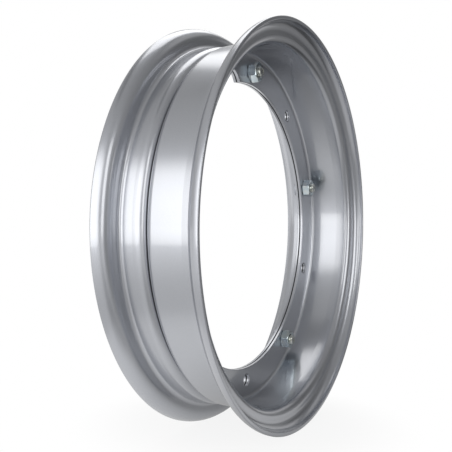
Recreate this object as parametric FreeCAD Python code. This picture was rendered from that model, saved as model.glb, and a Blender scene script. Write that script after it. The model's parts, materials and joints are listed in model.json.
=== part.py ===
import FreeCAD
import Part
import math
import os

# Two-piece pressed steel wheel rim. The wheel turns about Y. The hub bolts to the plane y = 0, which is the
# inner flange face of the wide half, and the hub stands on the -Y side. Lengths are in mm, angles in degrees.

# Sheet and overall form, shared by both halves
SHEET = 2.5
EDGE_ROUND = 0.6
DRUM_R = 126.6
FLANGE_HEIGHT = 14.4
JOINT_RING_DEPTH = 22.1
OVERALL_WIDTH = 70.8
WIDTH_BETWEEN_WALLS = 50.8
HUB_FACE_DEPTH = 41.3

# Bead seats: the drum rises on a taper towards each flange wall
SEAT_WIDTH = 8.9
SEAT_TAPER = 3.0

# Bends, measured on the tyre side of the sheet
LIP_BEND = 9.2
SEAT_FILLET = 3.0
SEAT_BLEND = 12.0
WIDE_CORNER = 5.0
NARROW_CORNER = 6.0

# Ring of places in the joint flanges, clamp studs and hub holes turn about
BOLTS_FROM_DRUM = 13.1
PLACES_EACH = 5
FIRST_STUD_ANGLE = 90.0
HUB_HOLE_R = 4.5

# Clamp studs and nuts. The thread is kept as a plain cylinder at its outer size.
THREAD_R = 4.0
NECK_OVER_THREAD = 0.25
STUD_CLEARANCE = 0.25
STUD_HEAD_R = 7.0
STUD_HEAD_THICK = 2.5
STUD_HEAD_ROUND = 0.8
STUD_TIP_PAST_NUT = 2.0
STUD_TIP_CHAMFER = 0.9
NUT_ACROSS_FLATS = 13.0
NUT_HEIGHT = 6.5
NUT_FACE_SHARE = 0.95
NUT_BEVEL_ANGLE = 30.0
NUT_THREAD_BEVEL = 0.5
NUT_TURNS = (0.0, 20.0, 17.0, 41.0, 9.0)

# Valve: a hole in the wide drum, and a scallop in both flanges for its bent stem
VALVE_ANGLE = 108.0
VALVE_HOLE_R = 4.5
VALVE_HOLE_FROM_HUB_FACE = 10.0
SCALLOP_R = 14.0
SCALLOP_CENTRE_INSIDE_OPENING = 3.0

# Radii about the wheel axis that follow from the sizes above
LIP_R = DRUM_R + FLANGE_HEIGHT
DRUM_INNER_R = DRUM_R - SHEET
OPENING_R = DRUM_INNER_R - JOINT_RING_DEPTH
BOLT_CIRCLE_R = DRUM_INNER_R - BOLTS_FROM_DRUM
SCALLOP_CENTRE_R = OPENING_R - SCALLOP_CENTRE_INSIDE_OPENING
NECK_R = THREAD_R + NECK_OVER_THREAD

# Places along the wheel axis that follow from the sizes above
JOINT_Y = SHEET
NARROW_FACE_Y = JOINT_Y + SHEET
WIDE_LIP_Y = -HUB_FACE_DEPTH
NARROW_LIP_Y = WIDE_LIP_Y + OVERALL_WIDTH
WALL_INSET = (OVERALL_WIDTH - WIDTH_BETWEEN_WALLS) / 2
AXIS = FreeCAD.Vector(0, 1, 0)
CENTRE = FreeCAD.Vector(0, 0, 0)

# Taper of the bead seats. Its back starts a little later, so that the sheet stays as thick there.
SEAT_SLOPE = math.tan(math.radians(SEAT_TAPER))
TAPER_BACK_SHIFT = SHEET * math.tan(math.radians(SEAT_TAPER / 2))


def vec(r, y):
    """Point of a half section: r is the distance from the wheel axis, y the place along it."""
    return FreeCAD.Vector(r, y, 0)


def rounded_outline(corners):
    """Closed outline through corners (point, radius), each rounded by a tangent arc."""
    bends = []
    for i, (point, radius) in enumerate(corners):
        before = (corners[i - 1][0] - point).normalize()
        after = (corners[(i + 1) % len(corners)][0] - point).normalize()
        half_angle = before.getAngle(after) / 2
        setback = radius / math.tan(half_angle)
        inward = (before + after).normalize()
        middle = point + inward * (radius / math.sin(half_angle) - radius)
        bends.append((point + before * setback, middle, point + after * setback))
    edges = []
    for i, (start, middle, end) in enumerate(bends):
        edges.append(Part.Arc(start, middle, end).toShape())
        edges.append(Part.LineSegment(end, bends[(i + 1) % len(bends)][0]).toShape())
    return Part.Wire(edges)


def pressed_ring(lip_y, corner):
    """One rim half as a full ring of bent sheet, from its lip to the flange edge at the opening."""
    outward = math.copysign(1.0, lip_y - JOINT_Y)
    wall_y = lip_y - outward * WALL_INSET
    seat_y = wall_y - outward * SEAT_WIDTH
    tyre_side = [
        (vec(LIP_R, lip_y), EDGE_ROUND),
        (vec(LIP_R, wall_y), LIP_BEND),
        (vec(DRUM_R + SEAT_WIDTH * SEAT_SLOPE, wall_y), SEAT_FILLET),
        (vec(DRUM_R, seat_y), SEAT_BLEND),
        (vec(DRUM_R, JOINT_Y), corner),
        (vec(OPENING_R, JOINT_Y), EDGE_ROUND),
    ]
    back_wall_y = wall_y + outward * SHEET
    back_seat_width = SEAT_WIDTH + SHEET - TAPER_BACK_SHIFT
    flange_face_y = JOINT_Y + outward * SHEET
    back_side = [
        (vec(OPENING_R, flange_face_y), EDGE_ROUND),
        (vec(DRUM_INNER_R, flange_face_y), corner - SHEET),
        (vec(DRUM_INNER_R, seat_y + outward * TAPER_BACK_SHIFT), SEAT_BLEND + SHEET),
        (vec(DRUM_INNER_R + back_seat_width * SEAT_SLOPE, back_wall_y), SEAT_FILLET + SHEET),
        (vec(LIP_R - SHEET, back_wall_y), LIP_BEND - SHEET),
        (vec(LIP_R - SHEET, lip_y), EDGE_ROUND),
    ]
    section = Part.Face(rounded_outline(tyre_side + back_side))
    return section.revolve(CENTRE, AXIS, 360)


def on_circle(radius, angle, y):
    """Point at a radius and angle about the wheel axis. 0 is +X and 90 is up."""
    a = math.radians(angle)
    return FreeCAD.Vector(radius * math.cos(a), y, radius * math.sin(a))


def flange_hole(radius, centre_r, angle):
    """Cutter along the wheel axis through both flanges."""
    start = on_circle(centre_r, angle, -SHEET)
    return Part.makeCylinder(radius, 4 * SHEET, start, AXIS)


def stud_angle(i):
    return FIRST_STUD_ANGLE - i * 360.0 / PLACES_EACH


def hub_hole_angle(i):
    return stud_angle(i + 0.5)


def flange_cutters(stud_hole_r):
    """Everything punched out of one flange: hub holes, stud holes and the valve scallop."""
    cutters = [flange_hole(SCALLOP_R, SCALLOP_CENTRE_R, VALVE_ANGLE)]
    for i in range(PLACES_EACH):
        cutters.append(flange_hole(HUB_HOLE_R, BOLT_CIRCLE_R, hub_hole_angle(i)))
        cutters.append(flange_hole(stud_hole_r, BOLT_CIRCLE_R, stud_angle(i)))
    return cutters


def valve_cutter():
    """Radial cutter through the wide drum only."""
    start = on_circle(DRUM_INNER_R - SHEET, VALVE_ANGLE, -VALVE_HOLE_FROM_HUB_FACE)
    return Part.makeCylinder(VALVE_HOLE_R, 3 * SHEET, start, on_circle(1.0, VALVE_ANGLE, 0.0))


def wide_half():
    cutters = flange_cutters(THREAD_R + STUD_CLEARANCE)
    return pressed_ring(WIDE_LIP_Y, WIDE_CORNER).cut(cutters + [valve_cutter()])


def narrow_half():
    return pressed_ring(NARROW_LIP_Y, NARROW_CORNER).cut(flange_cutters(NECK_R))


def turned(points):
    """Solid turned about Y from (radius, y) points in order, first and last on the axis."""
    outline = Part.makePolygon([vec(r, y) for r, y in points + points[:1]])
    return Part.Face(outline).revolve(CENTRE, AXIS, 360)


def clamp_stud(angle):
    """Press-in stud: flat round head, press-fit neck in the narrow half, thread to the hub side."""
    tip_y = -NUT_HEIGHT - STUD_TIP_PAST_NUT
    head_y = NARROW_FACE_Y + STUD_HEAD_THICK
    stud = turned([
        (0, tip_y),
        (THREAD_R - STUD_TIP_CHAMFER, tip_y),
        (THREAD_R, tip_y + STUD_TIP_CHAMFER),
        (THREAD_R, JOINT_Y),
        (NECK_R, JOINT_Y),
        (NECK_R, NARROW_FACE_Y),
        (STUD_HEAD_R, NARROW_FACE_Y),
        (STUD_HEAD_R, head_y - STUD_HEAD_ROUND),
        (STUD_HEAD_R - STUD_HEAD_ROUND, head_y),
        (0, head_y),
    ])
    stud.translate(on_circle(BOLT_CIRCLE_R, angle, 0.0))
    return stud


def clamp_nut(angle, turn):
    """Hexagon nut seated on the hub face, bevelled on both faces. At turn 0 a flat faces -X."""
    corner_r = NUT_ACROSS_FLATS / 2 / math.cos(math.pi / 6)
    face_r = NUT_FACE_SHARE * NUT_ACROSS_FLATS / 2
    rise = (corner_r - face_r) * math.tan(math.radians(NUT_BEVEL_ANGLE))
    hexagon = [on_circle(corner_r, 30 + turn + 60 * k, -NUT_HEIGHT) for k in range(7)]
    prism = Part.Face(Part.makePolygon(hexagon)).extrude(AXIS * NUT_HEIGHT)
    bevels = turned([
        (0, -NUT_HEIGHT),
        (face_r, -NUT_HEIGHT),
        (corner_r, rise - NUT_HEIGHT),
        (corner_r, -rise),
        (face_r, 0),
        (0, 0),
    ])
    thread = turned([
        (0, -NUT_HEIGHT),
        (THREAD_R + NUT_THREAD_BEVEL, -NUT_HEIGHT),
        (THREAD_R, NUT_THREAD_BEVEL - NUT_HEIGHT),
        (THREAD_R, -NUT_THREAD_BEVEL),
        (THREAD_R + NUT_THREAD_BEVEL, 0),
        (0, 0),
    ])
    nut = prism.common(bevels).cut(thread)
    nut.translate(on_circle(BOLT_CIRCLE_R, angle, 0.0))
    return nut


os.makedirs("parts", exist_ok=True)
wide_half().exportStep("parts/wide_rim_half.step")
narrow_half().exportStep("parts/narrow_rim_half.step")
for i in range(PLACES_EACH):
    clamp_stud(stud_angle(i)).exportStep("parts/clamp_stud_%d.step" % (i + 1))
    clamp_nut(stud_angle(i), NUT_TURNS[i]).exportStep("parts/clamp_nut_%d.step" % (i + 1))
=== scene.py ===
import json
import math
import bmesh
import bpy
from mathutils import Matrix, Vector


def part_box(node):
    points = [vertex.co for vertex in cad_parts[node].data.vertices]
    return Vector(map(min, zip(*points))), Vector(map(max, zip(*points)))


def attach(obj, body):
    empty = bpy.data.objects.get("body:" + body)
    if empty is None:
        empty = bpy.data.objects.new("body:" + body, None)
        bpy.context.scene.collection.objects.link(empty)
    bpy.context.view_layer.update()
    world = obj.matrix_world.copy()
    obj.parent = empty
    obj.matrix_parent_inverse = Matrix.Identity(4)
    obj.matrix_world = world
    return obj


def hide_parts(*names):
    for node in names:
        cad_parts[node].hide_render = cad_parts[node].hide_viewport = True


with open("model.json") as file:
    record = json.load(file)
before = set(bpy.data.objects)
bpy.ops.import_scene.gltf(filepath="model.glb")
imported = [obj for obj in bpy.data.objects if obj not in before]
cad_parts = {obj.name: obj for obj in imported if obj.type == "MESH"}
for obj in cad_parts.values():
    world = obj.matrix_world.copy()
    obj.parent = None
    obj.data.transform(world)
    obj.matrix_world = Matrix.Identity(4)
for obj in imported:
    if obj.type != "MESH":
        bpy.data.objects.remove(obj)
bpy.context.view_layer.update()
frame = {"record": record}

# Narrow rim half: a ring of 2.5 mm sheet steel, drawn in a press to a curled lip, a flange wall, a bead seat
# and a flat joint flange, then punched for the hub bolts and the clamp studs and sprayed with silver lacquer.
# The wide half is bolted against the outer face of its flange.
MM = 0.001
mounts = {mount["name"]: mount["dims"] for mount in frame["record"]["mounts"]}
narrow_low, narrow_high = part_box("narrow_rim_half")
lip_r = narrow_high.x
joint_y = narrow_low.y
sheet = 2.5 * MM
flange_height = 14.4 * MM
wall_inset = 10.0 * MM
seat_width = 8.9 * MM
seat_taper = 3.0
lip_bend = 9.2 * MM
seat_fillet = 3.0 * MM
seat_blend = 12.0 * MM
narrow_corner = 6.0 * MM
edge_round = 0.6 * MM
hole_edge_round = 0.3 * MM
opening_r = mounts["hub_opening"]["r_mm"] * MM
bolt_circle_r = mounts["hub_bolts"]["pcd_mm"] / 2 * MM
hub_hole_r = mounts["hub_bolts"]["hole_r_mm"] * MM
places = mounts["hub_bolts"]["count"]
stud_neck_r = 4.25 * MM
scallop_r = 14.0 * MM
scallop_centre_inset = 3.0 * MM
scallop_centre_r = opening_r - scallop_centre_inset
valve_angle = 108.0
first_stud_angle = 90.0
ring_steps = 256
bend_steps = 10
least_bend_steps = 3
edge_steps = 4
hole_steps = 96
hole_edge_steps = 3
punch_length = 4 * sheet
sheet_edge_angle = 60.0
hole_edge_angle = 50.0
sheet_smoothing = 35.0
close_by = 0.1 * MM
dark_silver = (0.457, 0.475, 0.518, 1)
light_silver = (0.517, 0.535, 0.58, 1)
# Near-black colour for the painted shade in the crease at the joint between the two halves.
painted_crease_shade = (0.03, 0.03, 0.032, 1)


def on_circle(radius, angle, y):
    """Point at a radius and angle about the wheel axis. 0 is +X and 90 is up."""
    return Vector((radius * math.cos(math.radians(angle)), y, radius * math.sin(math.radians(angle))))


def newest(name):
    """Name the primitive that was just added and put its place into its mesh."""
    piece = bpy.context.active_object
    piece.name = piece.data.name = name
    bpy.ops.object.transform_apply(location=True, rotation=True, scale=True)
    return piece


def pick(piece, test, kind="EDGE"):
    """In edit mode, select the edges or faces whose points all pass the test."""
    bpy.ops.mesh.select_mode(type=kind)
    bpy.ops.mesh.select_all(action="DESELECT")
    mesh = bmesh.from_edit_mesh(piece.data)
    for part in (mesh.edges if kind == "EDGE" else mesh.faces):
        part.select_set(all(test(point.co) for point in part.verts))
    bmesh.update_edit_mesh(piece.data)


def extruded_to(size, y, from_size, from_y):
    """Extrude the selected loop about the wheel axis to a new radius and a new place along it."""
    bpy.ops.mesh.extrude_region_move()
    if size != from_size:
        share = size / from_size
        bpy.ops.transform.resize(value=(share, 1, share), center_override=(0, 0, 0))
    if y != from_y:
        bpy.ops.transform.translate(value=(0, y - from_y, 0))


def chosen(piece):
    """Select this piece alone and make it the active one."""
    bpy.ops.object.select_all(action="DESELECT")
    piece.select_set(True)
    bpy.context.view_layer.objects.active = piece


def finished(piece, kind, **settings):
    """Add a modifier to the piece and apply it."""
    chosen(piece)
    step = piece.modifiers.new(kind.lower(), kind)
    for name, value in settings.items():
        setattr(step, name, value)
    bpy.ops.object.modifier_apply(modifier=step.name)


def pressed_ring(name, lip_y, corner_bend):
    """Draw the sheet from the hub opening out to the lip, round its bends and give it its thickness."""
    drum_r = lip_r - flange_height
    outward = math.copysign(1, lip_y - joint_y)
    wall_y = lip_y - outward * wall_inset
    seat_y = wall_y - outward * seat_width
    seat_rise = seat_width * math.tan(math.radians(seat_taper))
    bpy.ops.object.select_all(action="DESELECT")
    bpy.ops.mesh.primitive_circle_add(vertices=ring_steps, radius=opening_r, location=(0, joint_y, 0),
                                      rotation=(math.pi / 2, 0, 0))
    ring = newest(name)
    bpy.ops.object.mode_set(mode="EDIT")
    pick(ring, lambda p: True)
    path = [(opening_r, joint_y), (drum_r, joint_y), (drum_r, seat_y), (drum_r + seat_rise, wall_y),
            (lip_r, wall_y), (lip_r, lip_y)]
    for (from_r, from_y), (r, y) in zip(path, path[1:]):
        extruded_to(r, y, from_r, from_y)
    bends = ((corner_bend, 90), (seat_blend, seat_taper), (seat_fillet, 90 - seat_taper), (lip_bend, 90))
    for (r, y), (bend, turn) in zip(path[1:5], bends):
        pick(ring, lambda p: abs(math.hypot(p.x, p.z) - r) < close_by and abs(p.y - y) < close_by)
        bpy.ops.mesh.bevel(offset=bend * math.tan(math.radians(turn / 2)), offset_type="OFFSET",
                           segments=max(least_bend_steps, round(bend_steps * turn / 90)), profile=0.5,
                           affect="EDGES", clamp_overlap=False)
    bpy.ops.mesh.select_all(action="SELECT")
    bpy.ops.mesh.normals_make_consistent(inside=False)
    drum = max(bmesh.from_edit_mesh(ring.data).faces, key=lambda face: abs(face.normal.x))
    if drum.normal.dot(drum.calc_center_median()) < 0:
        bpy.ops.mesh.flip_normals()
    bpy.ops.object.mode_set(mode="OBJECT")
    finished(ring, "SOLIDIFY", thickness=sheet, offset=-1.0, use_even_offset=True)
    finished(ring, "BEVEL", width=edge_round, segments=edge_steps, limit_method="ANGLE",
             angle_limit=math.radians(sheet_edge_angle), use_clamp_overlap=False)
    return ring


def punched(piece, holes):
    """Punch round holes, each (centre, turn of its cutter, radius), and soften their edges."""
    bpy.ops.object.select_all(action="DESELECT")
    punches = []
    for centre, turn, radius in holes:
        bpy.ops.mesh.primitive_cylinder_add(vertices=hole_steps, radius=radius, depth=punch_length,
                                            location=centre, rotation=turn)
        punches.append(bpy.context.active_object)
    bpy.ops.object.select_all(action="DESELECT")
    for punch in punches:
        punch.select_set(True)
    bpy.context.view_layer.objects.active = punches[0]
    bpy.ops.object.join()
    tool = bpy.context.active_object
    finished(piece, "BOOLEAN", operation="DIFFERENCE", object=tool, solver="EXACT")
    bpy.data.objects.remove(tool)
    finished(piece, "BEVEL", width=hole_edge_round, segments=hole_edge_steps, limit_method="ANGLE",
             angle_limit=math.radians(hole_edge_angle), use_clamp_overlap=False)


def smoothed(piece, angle):
    """Smooth shading with flats kept flat next to their bends."""
    chosen(piece)
    bpy.ops.object.shade_smooth_by_angle(angle=math.radians(angle))
    finished(piece, "WEIGHTED_NORMAL", keep_sharp=True)


def flange_holes(stud_hole_r, y):
    """Hub holes, stud holes and the scallop for the valve stem, all along the wheel axis."""
    along = (math.pi / 2, 0, 0)
    holes = [(on_circle(scallop_centre_r, valve_angle, y), along, scallop_r)]
    for i in range(places):
        stud_angle = first_stud_angle - i * 360 / places
        hub_angle = stud_angle - 180 / places
        holes.append((on_circle(bolt_circle_r, stud_angle, y), along, stud_hole_r))
        holes.append((on_circle(bolt_circle_r, hub_angle, y), along, hub_hole_r))
    return holes


class Wire:
    """A shader socket that takes part in sums; every operator adds one Math node."""

    def __init__(self, tree, socket=None):
        self.tree, self.socket = tree, socket

    def node(self, kind, settings=None, sockets=None, out=0):
        """Add a node: its settings first, then the values or links of its sockets."""
        made = self.tree.nodes.new(kind)
        for name, value in (settings or {}).items():
            setattr(made, name, value)
        for name, value in (sockets or {}).items():
            if isinstance(value, Wire):
                self.tree.links.new(value.socket, made.inputs[name])
            else:
                made.inputs[name].default_value = value
        return Wire(self.tree, made.outputs[out] if made.outputs else None)

    def sum(self, operation, first, second):
        """Add one Math node."""
        return self.node("ShaderNodeMath", {"operation": operation}, {0: first, 1: second})

    def __add__(self, other):
        return self.sum("ADD", self, other)

    def __radd__(self, other):
        return self.sum("ADD", other, self)

    def __sub__(self, other):
        return self.sum("SUBTRACT", self, other)

    def __rsub__(self, other):
        return self.sum("SUBTRACT", other, self)

    def __mul__(self, other):
        return self.sum("MULTIPLY", self, other)

    def __rmul__(self, other):
        return self.sum("MULTIPLY", other, self)

    def __abs__(self):
        return self.sum("ABSOLUTE", self, 0.0)

    def larger(self, other):
        """The larger of two values."""
        return self.sum("MAXIMUM", self, other)

    def mix(self, low, high):
        """Colour between low and high by this value."""
        return self.node("ShaderNodeMix", {"data_type": "RGBA"}, {0: self, 6: low, 7: high}, out=2)

    def grey(self):
        """This value as a colour between black and white."""
        return self.mix((0, 0, 0, 1), (1, 1, 1, 1))

    def ramp(self, low, high):
        """0 below low, 1 above high and smooth between."""
        return self.node("ShaderNodeMapRange", {"interpolation_type": "SMOOTHSTEP"},
                         {"Value": self, "From Min": low, "From Max": high})

    def band(self, start, full, fading, end):
        """1 from full to fading, 0 before start and past end."""
        return self.ramp(start, full) * (1 - self.ramp(fading, end))

    def axis(self, letter):
        """The X, Y or Z of this vector."""
        return self.node("ShaderNodeSeparateXYZ", None, {0: self}, out=letter)

    def along(self, way):
        """How far this vector reaches along a direction."""
        return self.node("ShaderNodeVectorMath", {"operation": "DOT_PRODUCT"}, {0: self, 1: way}, out="Value")

    def noise(self, grain, detail=0.0):
        """Noise over this place, with spots about one grain across."""
        return self.node("ShaderNodeTexNoise", {"noise_dimensions": "3D"},
                         {"Vector": self, "Scale": 1 / grain, "Detail": detail})

    def bump(self):
        """Normal of a surface that rises by this value, in metres."""
        return self.node("ShaderNodeBump", None, {"Strength": 1.0, "Distance": 1.0, "Height": self})


def new_finish(name):
    """Empty material, and a wire that carries the place on the piece."""
    finish = bpy.data.materials.new(name)
    finish.use_nodes = True
    finish.node_tree.nodes.clear()
    return finish, Wire(finish.node_tree).node("ShaderNodeTexCoord", out="Object")


def silver_lacquer():
    """Sprayed silver: aluminium flakes under a clear gloss film, on a faintly rippled pressing. Within a
    millimetre of the joint between the two halves, a painted shade darkens the crease: the colour there is near
    black and rough, with no gloss film."""
    flake_grain, peel_grain, ripple_grain, cloud_grain = 0.35 * MM, 1.5 * MM, 30 * MM, 45 * MM
    ripple_height, peel_height = 0.025 * MM, 0.006 * MM
    crease_shade_core, crease_shade_reach = 0.2 * MM, 0.8 * MM
    crease_roughness, spray_gloss, flake_roughness = 0.6, 0.29, 0.06
    finish, place = new_finish("silver_lacquer")
    flake = place.noise(flake_grain)
    peel = place.noise(peel_grain, 1.0)
    cloud = place.noise(cloud_grain, 2.0)
    ripple = place.noise(ripple_grain)
    # sprayed falls to 0 at the joint plane. That is a painted shade in the crease and at the parting line:
    # near-black colour, rough and without the coat.
    sprayed = abs(place.axis("Y") - joint_y).ramp(crease_shade_core, crease_shade_reach)
    tone = (0.5 * flake + 0.5 * cloud).ramp(0.25, 0.75)
    height = ripple * ripple_height + peel * peel_height
    shader = place.node("ShaderNodeBsdfPrincipled", None, {
        "Base Color": sprayed.mix(painted_crease_shade, tone.mix(dark_silver, light_silver)), "Metallic": 1.0,
        "Roughness": crease_roughness - (spray_gloss - flake_roughness * flake) * sprayed,
        "Normal": height.bump(), "Coat Weight": sprayed, "Coat Roughness": 0.09, "Coat IOR": 2.4})
    place.node("ShaderNodeOutputMaterial", None, {"Surface": shader})
    return finish


lacquer = silver_lacquer()
narrow_half = pressed_ring("narrow_half_pressing", narrow_high.y, narrow_corner)
punched(narrow_half, flange_holes(stud_neck_r, joint_y + sheet / 2))
smoothed(narrow_half, sheet_smoothing)
narrow_half.data.materials.append(lacquer)
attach(narrow_half, "root")
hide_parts("narrow_rim_half")

# Clamp studs: five M8 studs of zinc plated steel with a rolled thread. The neck is pressed into the narrow half
# until the flat round head seats on its back face, and the thread stands out through the wide half. The heads
# are sprayed silver together with that half.
stud_low, stud_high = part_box("clamp_stud_1")
stud_axis = (stud_low + stud_high) / 2
stud_steps = 48
head_r = (stud_high.x - stud_low.x) / 2
head_y = joint_y + sheet
head_thick = stud_high.y - head_y
head_round = 0.8 * MM
head_round_steps = 5
head_silver = [(dark + light) / 2 for dark, light in zip(dark_silver, light_silver)]
straw_zinc = (0.68, 0.69, 0.63, 1)
grey_zinc = (0.62, 0.65, 0.64, 1)
thread_r = 4.0 * MM
thread_gap = 0.05 * MM
pitch = 1.25 * MM
thread_depth = 0.6 * pitch
groove_slope = 1.15
rings_a_turn = 12
thread_start_y = -3.0 * MM
tip_y = stud_low.y
tip_chamfer = 0.9 * MM
tip_dish_r = 1.9 * MM
tip_dish_floor_r = 0.8 * tip_dish_r
tip_dish_depth = 0.3 * MM
stud_smoothing = 40.0


def from_axis(point):
    """Distance of a point of the first stud or nut from that stud's own axis."""
    return math.hypot(point.x - stud_axis.x, point.z - stud_axis.z)


def grown(piece, y, size, from_size):
    """Carry the selected end face along the stud to y and to a new size."""
    bpy.ops.mesh.extrude_region_move()
    mesh = bmesh.from_edit_mesh(piece.data)
    end_y = next(point.co.y for point in mesh.verts if point.select)
    if size != from_size:
        share = size / from_size
        bpy.ops.transform.resize(value=(share, 1, share), center_override=stud_axis)
    if y != end_y:
        bpy.ops.transform.translate(value=(0, y - end_y, 0))


def threaded(piece):
    """Roll the thread: move each ring of points in and out along the helix, and taper it to the tip."""
    for point in piece.data.vertices:
        r, y = from_axis(point.co), point.co.y
        if y < thread_start_y - close_by / 10 and r > tip_dish_r + close_by:
            turn = math.atan2(point.co.z - stud_axis.z, point.co.x - stud_axis.x) / (2 * math.pi)
            groove = abs(((y / pitch + turn) % 1.0) * 2 - 1)
            crest = min(thread_r - thread_gap, thread_r - tip_chamfer + (y - tip_y))
            root = thread_r - thread_depth * min(1.0, groove * groove_slope)
            share = min(crest, root) / r
            point.co.x = stud_axis.x + (point.co.x - stud_axis.x) * share
            point.co.z = stud_axis.z + (point.co.z - stud_axis.z) * share


def plain_stud(name):
    """Headed stud: a disc with a rounded back, drawn out to the neck, the thread and the dished tip."""
    bpy.ops.object.select_all(action="DESELECT")
    bpy.ops.mesh.primitive_cylinder_add(vertices=stud_steps, radius=head_r, depth=head_thick,
                                        location=(stud_axis.x, head_y + head_thick / 2, stud_axis.z),
                                        rotation=(math.pi / 2, 0, 0))
    stud = newest(name)
    bpy.ops.object.mode_set(mode="EDIT")
    pick(stud, lambda p: p.y > head_y + head_thick - close_by)
    bpy.ops.mesh.bevel(offset=head_round, segments=head_round_steps, profile=0.5, affect="EDGES")
    pick(stud, lambda p: p.y < head_y + close_by, "FACE")
    grown(stud, head_y, stud_neck_r, head_r)
    grown(stud, joint_y, stud_neck_r, stud_neck_r)
    grown(stud, joint_y, thread_r - thread_gap, stud_neck_r)
    grown(stud, thread_start_y, thread_r, thread_r)
    rings = round((thread_start_y - tip_y) / pitch * rings_a_turn)
    for k in range(1, rings + 1):
        grown(stud, thread_start_y + (tip_y - thread_start_y) * k / rings, thread_r, thread_r)
    grown(stud, tip_y, tip_dish_r, thread_r - thread_gap)
    grown(stud, tip_y + tip_dish_depth, tip_dish_floor_r, tip_dish_r)
    bpy.ops.object.mode_set(mode="OBJECT")
    threaded(stud)
    return stud


def plated_stud():
    """Zinc plate with a thin passivation, straw in patches over a fine grain, and silver spray on the head."""
    film_grain, fine_grain, grain_height = 2.5 * MM, 0.25 * MM, 0.003 * MM
    plate_roughness, grain_roughness, spray_roughness = 0.12, 0.10, 0.25
    finish, place = new_finish("zinc_stud")
    film = place.noise(film_grain, 2.0)
    grain = place.noise(fine_grain, 2.0)
    zinc = film.ramp(0.3, 0.7).mix(straw_zinc, grey_zinc)
    sprayed = place.axis("Y").ramp(head_y - close_by, head_y)
    shader = place.node("ShaderNodeBsdfPrincipled", None, {
        "Base Color": sprayed.mix(zinc, head_silver), "Metallic": 1.0,
        "Roughness": plate_roughness + grain_roughness * grain + spray_roughness * sprayed,
        "Normal": (grain * grain_height).bump()})
    place.node("ShaderNodeOutputMaterial", None, {"Surface": shader})
    return finish


def copied(piece, name):
    """A copy of the piece with a mesh of its own."""
    copy = piece.copy()
    copy.data = piece.data.copy()
    copy.name = copy.data.name = name
    bpy.context.collection.objects.link(copy)
    return copy


def settled(piece):
    """Put the piece's turn and place into its mesh."""
    chosen(piece)
    bpy.ops.object.transform_apply(location=True, rotation=True, scale=True)


stud_plate = plated_stud()
first_stud = plain_stud("clamp_stud_piece_1")
smoothed(first_stud, stud_smoothing)
first_stud.data.materials.append(stud_plate)
studs = [first_stud]
for i in range(1, places):
    stud = copied(first_stud, "clamp_stud_piece_%d" % (i + 1))
    stud.rotation_euler = (0, math.radians(i * 360 / places), 0)
    settled(stud)
    studs.append(stud)
for i, stud in enumerate(studs):
    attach(stud, "root")
    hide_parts("clamp_stud_%d" % (i + 1))

# Wide rim half: the deeper pressing of the same sheet, drawn and punched as the narrow half is. It drops over
# the five studs until the two flanges meet, and its drum has the hole for the tyre valve.
wide_lip_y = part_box("wide_rim_half")[0].y
wide_corner = 5.0 * MM
stud_hole_r = 4.25 * MM
valve_hole_r = mounts["valve_hole"]["r_mm"] * MM
valve_hole_y = -10.0 * MM
drum_middle_r = lip_r - flange_height - sheet / 2
wide_half = pressed_ring("wide_half_pressing", wide_lip_y, wide_corner)
valve_turn = (0, math.radians(90 - valve_angle), 0)
wide_holes = flange_holes(stud_hole_r, joint_y - sheet / 2)
wide_holes.append((on_circle(drum_middle_r, valve_angle, valve_hole_y), valve_turn, valve_hole_r))
punched(wide_half, wide_holes)
smoothed(wide_half, sheet_smoothing)
wide_half.data.materials.append(lacquer)
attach(wide_half, "root")
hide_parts("wide_rim_half")

# Clamp nuts: five M8 hexagon nuts of steel, bevelled on both faces and zinc plated with a blue passivation.
# They are run down on the studs without washers and clamp the two halves, each stopping at its own turn.
nut_low, nut_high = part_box("clamp_nut_1")
nut_height = nut_high.y - nut_low.y
nut_flats = 13.0 * MM
nut_corner_r = nut_flats / 2 / math.cos(math.pi / 6)
nut_face_share = 0.95
nut_face_r = nut_face_share * nut_flats / 2
nut_bevel_angle = 30.0
nut_bevel = (nut_corner_r - nut_face_r) * math.tan(math.radians(nut_bevel_angle))
nut_bevel_steps = 96
nut_bore_r = thread_r
nut_bore_steps = 64
nut_countersink = 0.5 * MM
nut_edge_round = 0.12 * MM
nut_edge_steps = 3
nut_edge_angle = 20.0
nut_smoothing = 25.0
blue_zinc = (0.58, 0.67, 0.72, 1)
pale_zinc = (0.68, 0.72, 0.71, 1)
nut_turns = (0.0, 20.0, 17.0, 41.0, 9.0)


def turned_tool(name, steps, profile):
    """Closed turned body about the wheel axis through (radius, y) rings."""
    bpy.ops.object.select_all(action="DESELECT")
    first_r, first_y = profile[0]
    bpy.ops.mesh.primitive_circle_add(vertices=steps, radius=first_r, fill_type="NGON",
                                      location=(0, first_y, 0), rotation=(math.pi / 2, 0, 0))
    tool = newest(name)
    bpy.ops.object.mode_set(mode="EDIT")
    pick(tool, lambda p: True, "FACE")
    for (from_r, from_y), (r, y) in zip(profile, profile[1:]):
        extruded_to(r, y, from_r, from_y)
    bpy.ops.mesh.select_all(action="SELECT")
    bpy.ops.mesh.normals_make_consistent(inside=False)
    bpy.ops.object.mode_set(mode="OBJECT")
    return tool


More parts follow.
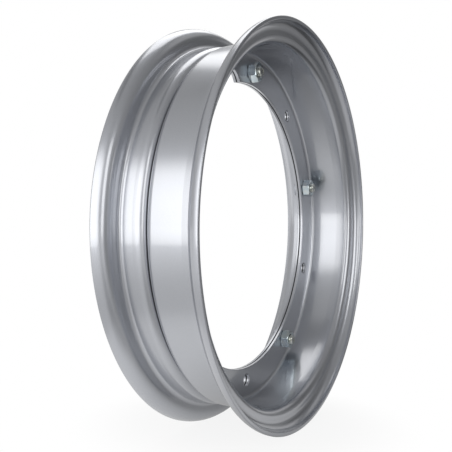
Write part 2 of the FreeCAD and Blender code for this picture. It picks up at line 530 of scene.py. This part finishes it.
def plain_nut(name):
    """Hexagon bar end, its corners turned to a bevel on both faces, then bored and countersunk."""
    bpy.ops.object.select_all(action="DESELECT")
    bpy.ops.mesh.primitive_cylinder_add(vertices=6, radius=nut_corner_r, depth=nut_height,
                                        location=(0, nut_low.y + nut_height / 2, 0),
                                        rotation=(math.pi / 2, 0, 0))
    nut = newest(name)
    bevel_tool = turned_tool("nut_bevel_tool", nut_bevel_steps, [
        (nut_face_r, nut_low.y), (nut_corner_r, nut_low.y + nut_bevel),
        (nut_corner_r, nut_high.y - nut_bevel), (nut_face_r, nut_high.y)])
    finished(nut, "BOOLEAN", operation="INTERSECT", object=bevel_tool, solver="EXACT")
    bpy.data.objects.remove(bevel_tool)
    wide_bore = nut_bore_r + nut_countersink
    past = 0.2 * MM
    bore_tool = turned_tool("nut_bore_tool", nut_bore_steps, [
        (wide_bore + past, nut_low.y - past), (nut_bore_r, nut_low.y + nut_countersink),
        (nut_bore_r, nut_high.y - nut_countersink), (wide_bore + past, nut_high.y + past)])
    finished(nut, "BOOLEAN", operation="DIFFERENCE", object=bore_tool, solver="EXACT")
    bpy.data.objects.remove(bore_tool)
    finished(nut, "BEVEL", width=nut_edge_round, segments=nut_edge_steps, limit_method="ANGLE",
             angle_limit=math.radians(nut_edge_angle), use_clamp_overlap=False)
    return nut


def passivated_nut():
    """Blue zinc: a clear bluish film that turns paler in patches, over a fine grain."""
    film_grain, fine_grain, grain_height = 4 * MM, 0.3 * MM, 0.003 * MM
    plate_roughness, grain_roughness = 0.04, 0.06
    finish, place = new_finish("zinc_nut")
    film = place.noise(film_grain, 2.0)
    grain = place.noise(fine_grain, 2.0)
    shader = place.node("ShaderNodeBsdfPrincipled", None, {
        "Base Color": film.ramp(0.3, 0.7).mix(blue_zinc, pale_zinc), "Metallic": 1.0,
        "Roughness": plate_roughness + grain_roughness * grain, "Normal": (grain * grain_height).bump()})
    place.node("ShaderNodeOutputMaterial", None, {"Surface": shader})
    return finish


nut_plate = passivated_nut()
pattern_nut = plain_nut("clamp_nut_pattern")
smoothed(pattern_nut, nut_smoothing)
pattern_nut.data.materials.append(nut_plate)
for i in range(places):
    low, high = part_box("clamp_nut_%d" % (i + 1))
    nut = copied(pattern_nut, "clamp_nut_piece_%d" % (i + 1))
    nut.rotation_euler = (0, math.radians(-nut_turns[i]), 0)
    nut.location = ((low.x + high.x) / 2, 0, (low.z + high.z) / 2)
    settled(nut)
    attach(nut, "root")
    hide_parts("clamp_nut_%d" % (i + 1))
bpy.data.objects.remove(pattern_nut)

# Camera: stands at the height of the wheel's middle, to the left of its hub side, and looks level past the
# opening. It leans by about a degree, because the wheel's axis in the photograph isn't quite level.
camera_place = (-0.43562, -0.21817, -0.00553)
camera_turn = (90.612, -0.967, -61.444)
camera_lens = bpy.data.cameras.new("photo_camera")
camera_lens.sensor_width = 36.0
camera_lens.lens = 53.72
camera = bpy.data.objects.new("photo_camera", camera_lens)
camera.location = camera_place
camera.rotation_euler = [math.radians(angle) for angle in camera_turn]
bpy.context.collection.objects.link(camera)
bpy.context.scene.camera = camera

# Studio: the wheel stands on a plain pale floor that runs out into a white backdrop, in a grey room with a
# large soft box behind the camera on its left, two small ones on its right, and one high up behind the wheel.
heading = math.radians(camera_turn[2])
view_ahead = Vector((-math.sin(heading), math.cos(heading), 0))
view_right = Vector((view_ahead.y, -view_ahead.x, 0))


def softbox(name, bearing, height_angle, lean, distance, width, height, fade, level):
    """Soft box seen from the wheel at a bearing to the right of the view and an angle above the floor. Its
    face is turned up or down by lean, and its light fades over a share of its width towards the edges."""
    bearing = math.radians(bearing)
    level_way = view_ahead * math.cos(bearing) + view_right * math.sin(bearing)
    rise, face = math.radians(height_angle), math.radians(height_angle + lean)
    lamp = bpy.data.lights.new(name, "AREA")
    lamp.shape = "RECTANGLE"
    lamp.size, lamp.size_y = width, height
    lamp.energy = level * math.pi * width * height
    lamp.use_nodes = True
    lamp.node_tree.nodes.clear()
    cloth = Wire(lamp.node_tree).node("ShaderNodeNewGeometry", out="Parametric")
    from_side, from_foot = (1 - abs(2 * cloth.axis(letter) - 1) for letter in "XY")
    glow = from_side.ramp(0.0, fade) * from_foot.ramp(0.0, fade)
    light = cloth.node("ShaderNodeEmission", None, {"Color": glow.grey(), "Strength": 1.0})
    cloth.node("ShaderNodeOutputLight", None, {"Surface": light})
    box = bpy.data.objects.new(name, lamp)
    box.location = (level_way * math.cos(rise) + Vector((0, 0, math.sin(rise)))) * distance
    facing = level_way * math.cos(face) + Vector((0, 0, math.sin(face)))
    box.rotation_euler = facing.to_track_quat("Z", "Y").to_euler()
    bpy.context.collection.objects.link(box)


def ray_kinds(wire):
    """Masks for the rays that come from the camera and for those that a glossy or clear surface sends on."""
    direct, glossy, clear = (wire.node("ShaderNodeLightPath", out="Is %s Ray" % kind)
                             for kind in ("Camera", "Glossy", "Transmission"))
    return direct, glossy.larger(clear)


softbox("left_softbox", bearing=-142, height_angle=8.7, lean=3.3, distance=0.70, width=0.90, height=0.73,
        fade=0.5, level=1.40)
softbox("right_softbox", bearing=118, height_angle=8, lean=9, distance=0.85, width=0.52, height=0.56,
        fade=0.5, level=1.7)
softbox("rear_softbox", bearing=165, height_angle=15, lean=0, distance=1.0, width=0.34, height=0.92,
        fade=0.4, level=1.6)
softbox("back_softbox", bearing=-1, height_angle=66, lean=-18, distance=1.245, width=0.84, height=1.1,
        fade=0.35, level=1.24)

# The room's light comes from directions that are measured against the camera's view. It falls off ahead, to
# the right and upward. The far right corner is dimmer, most of all on its wall and at its ceiling, and so is
# the ceiling on the left, while a patch high on the right is brighter. The camera sees only white backdrop.
room_level = 0.42
fall_ahead, fall_right, fall_upward = 0.06, 0.16, 0.06
corner_dim, corner_wall_dim, corner_ceiling_dim, left_ceiling_dim = 0.09, 0.25, 0.3, 0.22
high_patch_light = 0.22
side_wall_share = 0.5
backdrop_offset = 0.16
world = bpy.data.worlds.new("studio")
world.use_nodes = True
world.node_tree.nodes.clear()
air = Wire(world.node_tree)
ray = air.node("ShaderNodeTexCoord", out="Generated")
ahead, right, upward = ray.along(view_ahead), ray.along(view_right), ray.axis("Z")
camera_ray, mirror_ray = ray_kinds(air)
corner = ahead.larger(0.0) * right.larger(0.0)
corner_wall = upward.band(0.1, 0.25, 0.54, 0.66)
corner_ceiling = upward.ramp(0.8, 0.9)
left_ceiling = upward.ramp(0.84, 0.92) * (0 - right).ramp(0.2, 0.3)
high_patch = right.ramp(0.3, 0.5) * ahead.ramp(0.05, 0.25) * upward.band(0.6, 0.68, 0.78, 0.88)
dimmer = corner_dim + corner_wall_dim * corner_wall + corner_ceiling_dim * corner_ceiling
room = room_level - fall_ahead * ahead - fall_right * right - fall_upward * upward
room = room - corner * dimmer + high_patch_light * high_patch - left_ceiling_dim * left_ceiling
backdrop = ahead.ramp(0.4, 0.7) * (1 - abs(right - backdrop_offset * ahead).ramp(0.08, 0.22))
side_wall = ahead.ramp(0.4, 0.6) * right.band(0.05, 0.2, 0.6, 0.78) * (1 - upward.ramp(0.42, 0.56))
seen = camera_ray.larger(mirror_ray * backdrop.larger(side_wall_share * side_wall))
light = air.node("ShaderNodeBackground", None, {"Color": (room + (1 - room) * seen).grey(), "Strength": 1.0})
air.node("ShaderNodeOutputWorld", None, {"Surface": light})
bpy.context.scene.world = world

# The floor mirrored in the metal glows by its place, in metres from the wheel's middle: bright on the left with
# a dip round the wheel, bright again before the hub side, darker past it and in the wheel's own shade, and
# white behind the wheel. The camera sees it white too, with the wheel's soft shadow where it stands.
floor_colour = (0.80, 0.80, 0.80, 1)
floor_reach = 6.0
floor_level = 0.25
left_light, left_pool_light = 0.12, 0.48
left_slant, pool_dip, pool_return = 0.4, 0.42, 0.34
hub_side_light, hub_side_fall = 0.4, 0.35
past_hub_dim, shade_dim = 0.24, 0.28
shade_offset, behind_spread = 0.03, 2.2
mirror_share, shadow_share = 0.9, 0.12
bpy.ops.object.select_all(action="DESELECT")
bpy.ops.mesh.primitive_plane_add(size=2 * floor_reach, location=(0, 0, narrow_low.z))
floor = newest("studio_floor")
pale, spot = new_finish("pale_floor")
camera_ray, mirror_ray = ray_kinds(spot)
away = spot.node("ShaderNodeVectorMath", {"operation": "LENGTH"}, {0: spot}, out="Value")
ahead, right = spot.along(view_ahead), spot.along(view_right)
lit = 0 - right - left_slant * ahead
pool = 1 - pool_dip * away.ramp(0.215, 0.245) + pool_return * away.ramp(0.28, 0.48)
behind = (ahead - behind_spread * abs(right)).ramp(0.15, 0.45)
hub_side = right.ramp(0.02, 0.08) * ahead.ramp(-0.2, -0.08) * (1 - away.ramp(0.25, 0.45))
hub_side = hub_side * (1 - hub_side_fall * ahead.ramp(-0.03, 0.05))
past_hub = ahead.ramp(0.07, 0.13) * right.band(0.12, 0.2, 0.45, 0.7)
far_left = ahead.ramp(0.05, 0.11) * (0 - right).ramp(0.05, 0.08)
shaded = (0 - ahead).ramp(0.1, 0.16) * (1 - abs(right + shade_offset).ramp(0.02, 0.07))
mirrored = floor_level + left_light * lit.ramp(-0.1, 0.03) + left_pool_light * lit.ramp(-0.02, 0.125) * pool
mirrored = mirrored + hub_side_light * hub_side - past_hub_dim * past_hub - shade_dim * shaded
mirrored = mirrored.larger(behind).larger(far_left)
matt = spot.node("ShaderNodeBsdfDiffuse", None, {"Color": floor_colour})
white = (camera_ray + (1 - camera_ray) * mirrored).grey()
glow = spot.node("ShaderNodeEmission", None, {"Color": white, "Strength": 1.0})
shadow_free = 1 - shadow_share + shadow_share * away.ramp(0.145, 0.19)
glowing = camera_ray * shadow_free + mirror_share * mirror_ray * (1 - camera_ray)
whitened = spot.node("ShaderNodeMixShader", None, {0: glowing, 1: matt, 2: glow})
spot.node("ShaderNodeOutputMaterial", None, {"Surface": whitened})
floor.data.materials.append(pale)

bpy.context.scene.view_settings.view_transform = "Standard"
